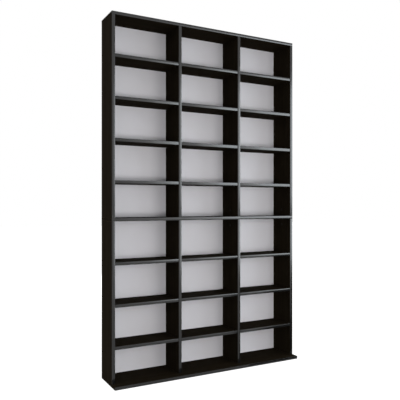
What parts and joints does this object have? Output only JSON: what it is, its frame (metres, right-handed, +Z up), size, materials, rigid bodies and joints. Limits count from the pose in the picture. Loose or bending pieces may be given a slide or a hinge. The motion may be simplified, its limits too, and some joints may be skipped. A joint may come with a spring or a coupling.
{
  "type": "media storage tower",
  "caption": "Tall open media tower in black board: side-by-side bays of compartments with loose shelves, a full-width middle plate and a deeper base plate.",
  "frame": {"origin": "on the floor, under the middle of the tower's overall box", "axes": "+X to the viewer's right along the width, +Y from the open front to the back, +Z up"},
  "size_m": [1.02, 0.233, 1.78],
  "materials": {
    "black_board": "matt black-brown melamine foil with satin black edging",
    "hardboard": "light grey lacquered face, raw brown hardboard behind",
    "zinc": "die-cast zinc",
    "steel": "bright zinc-plated steel"
  },
  "bodies": {
    "carcass": {"base_plate": "black_board", "middle_plate": "black_board", "top_plate": "black_board", "lower_left_side": "black_board", "lower_left_divider": "black_board", "lower_right_divider": "black_board", "lower_right_side": "black_board", "upper_left_side": "black_board", "upper_left_divider": "black_board", "upper_right_divider": "black_board", "upper_right_side": "black_board", "lower_cam_1": "zinc", "lower_cam_2": "zinc", "lower_cam_3": "zinc", "lower_cam_4": "zinc", "upper_cam_1": "zinc", "upper_cam_2": "zinc", "upper_cam_3": "zinc", "upper_cam_4": "zinc", "joining_bolt_1": "steel", "joining_bolt_2": "steel", "joining_bolt_3": "steel", "joining_bolt_4": "steel", "base_screw_1": "steel", "top_screw_1": "steel", "base_screw_2": "steel", "top_screw_2": "steel", "base_screw_3": "steel", "top_screw_3": "steel", "base_screw_4": "steel", "top_screw_4": "steel", "lower_left_back": "hardboard", "lower_centre_back": "hardboard", "lower_right_back": "hardboard", "upper_left_back": "hardboard", "upper_centre_back": "hardboard", "upper_right_back": "hardboard"},
    "lower_left_shelf_1": {"lower_left_shelf_1": "black_board"},
    "lower_left_shelf_2": {"lower_left_shelf_2": "black_board"},
    "lower_left_shelf_3": {"lower_left_shelf_3": "black_board"},
    "lower_centre_shelf_1": {"lower_centre_shelf_1": "black_board"},
    "lower_centre_shelf_2": {"lower_centre_shelf_2": "black_board"},
    "lower_centre_shelf_3": {"lower_centre_shelf_3": "black_board"},
    "lower_right_shelf_1": {"lower_right_shelf_1": "black_board"},
    "lower_right_shelf_2": {"lower_right_shelf_2": "black_board"},
    "lower_right_shelf_3": {"lower_right_shelf_3": "black_board"},
    "upper_left_shelf_1": {"upper_left_shelf_1": "black_board"},
    "upper_left_shelf_2": {"upper_left_shelf_2": "black_board"},
    "upper_left_shelf_3": {"upper_left_shelf_3": "black_board"},
    "upper_left_shelf_4": {"upper_left_shelf_4": "black_board"},
    "upper_centre_shelf_1": {"upper_centre_shelf_1": "black_board"},
    "upper_centre_shelf_2": {"upper_centre_shelf_2": "black_board"},
    "upper_centre_shelf_3": {"upper_centre_shelf_3": "black_board"},
    "upper_centre_shelf_4": {"upper_centre_shelf_4": "black_board"},
    "upper_right_shelf_1": {"upper_right_shelf_1": "black_board"},
    "upper_right_shelf_2": {"upper_right_shelf_2": "black_board"},
    "upper_right_shelf_3": {"upper_right_shelf_3": "black_board"},
    "upper_right_shelf_4": {"upper_right_shelf_4": "black_board"}
  },
  "joints": [
    {"name": "lower_left_shelf_1_slide", "type": "slide", "parent": "carcass", "child": "lower_left_shelf_1", "axis": [0, -1, 0], "range_m": [0, 0.18]},
    {"name": "lower_left_shelf_2_slide", "type": "slide", "parent": "carcass", "child": "lower_left_shelf_2", "axis": [0, -1, 0], "range_m": [0, 0.18]},
    {"name": "lower_left_shelf_3_slide", "type": "slide", "parent": "carcass", "child": "lower_left_shelf_3", "axis": [0, -1, 0], "range_m": [0, 0.18]},
    {"name": "lower_centre_shelf_1_slide", "type": "slide", "parent": "carcass", "child": "lower_centre_shelf_1", "axis": [0, -1, 0], "range_m": [0, 0.18]},
    {"name": "lower_centre_shelf_2_slide", "type": "slide", "parent": "carcass", "child": "lower_centre_shelf_2", "axis": [0, -1, 0], "range_m": [0, 0.18]},
    {"name": "lower_centre_shelf_3_slide", "type": "slide", "parent": "carcass", "child": "lower_centre_shelf_3", "axis": [0, -1, 0], "range_m": [0, 0.18]},
    {"name": "lower_right_shelf_1_slide", "type": "slide", "parent": "carcass", "child": "lower_right_shelf_1", "axis": [0, -1, 0], "range_m": [0, 0.18]},
    {"name": "lower_right_shelf_2_slide", "type": "slide", "parent": "carcass", "child": "lower_right_shelf_2", "axis": [0, -1, 0], "range_m": [0, 0.18]},
    {"name": "lower_right_shelf_3_slide", "type": "slide", "parent": "carcass", "child": "lower_right_shelf_3", "axis": [0, -1, 0], "range_m": [0, 0.18]},
    {"name": "upper_left_shelf_1_slide", "type": "slide", "parent": "carcass", "child": "upper_left_shelf_1", "axis": [0, -1, 0], "range_m": [0, 0.18]},
    {"name": "upper_left_shelf_2_slide", "type": "slide", "parent": "carcass", "child": "upper_left_shelf_2", "axis": [0, -1, 0], "range_m": [0, 0.18]},
    {"name": "upper_left_shelf_3_slide", "type": "slide", "parent": "carcass", "child": "upper_left_shelf_3", "axis": [0, -1, 0], "range_m": [0, 0.18]},
    {"name": "upper_left_shelf_4_slide", "type": "slide", "parent": "carcass", "child": "upper_left_shelf_4", "axis": [0, -1, 0], "range_m": [0, 0.18]},
    {"name": "upper_centre_shelf_1_slide", "type": "slide", "parent": "carcass", "child": "upper_centre_shelf_1", "axis": [0, -1, 0], "range_m": [0, 0.18]},
    {"name": "upper_centre_shelf_2_slide", "type": "slide", "parent": "carcass", "child": "upper_centre_shelf_2", "axis": [0, -1, 0], "range_m": [0, 0.18]},
    {"name": "upper_centre_shelf_3_slide", "type": "slide", "parent": "carcass", "child": "upper_centre_shelf_3", "axis": [0, -1, 0], "range_m": [0, 0.18]},
    {"name": "upper_centre_shelf_4_slide", "type": "slide", "parent": "carcass", "child": "upper_centre_shelf_4", "axis": [0, -1, 0], "range_m": [0, 0.18]},
    {"name": "upper_right_shelf_1_slide", "type": "slide", "parent": "carcass", "child": "upper_right_shelf_1", "axis": [0, -1, 0], "range_m": [0, 0.18]},
    {"name": "upper_right_shelf_2_slide", "type": "slide", "parent": "carcass", "child": "upper_right_shelf_2", "axis": [0, -1, 0], "range_m": [0, 0.18]},
    {"name": "upper_right_shelf_3_slide", "type": "slide", "parent": "carcass", "child": "upper_right_shelf_3", "axis": [0, -1, 0], "range_m": [0, 0.18]},
    {"name": "upper_right_shelf_4_slide", "type": "slide", "parent": "carcass", "child": "upper_right_shelf_4", "axis": [0, -1, 0], "range_m": [0, 0.18]}
  ]
}
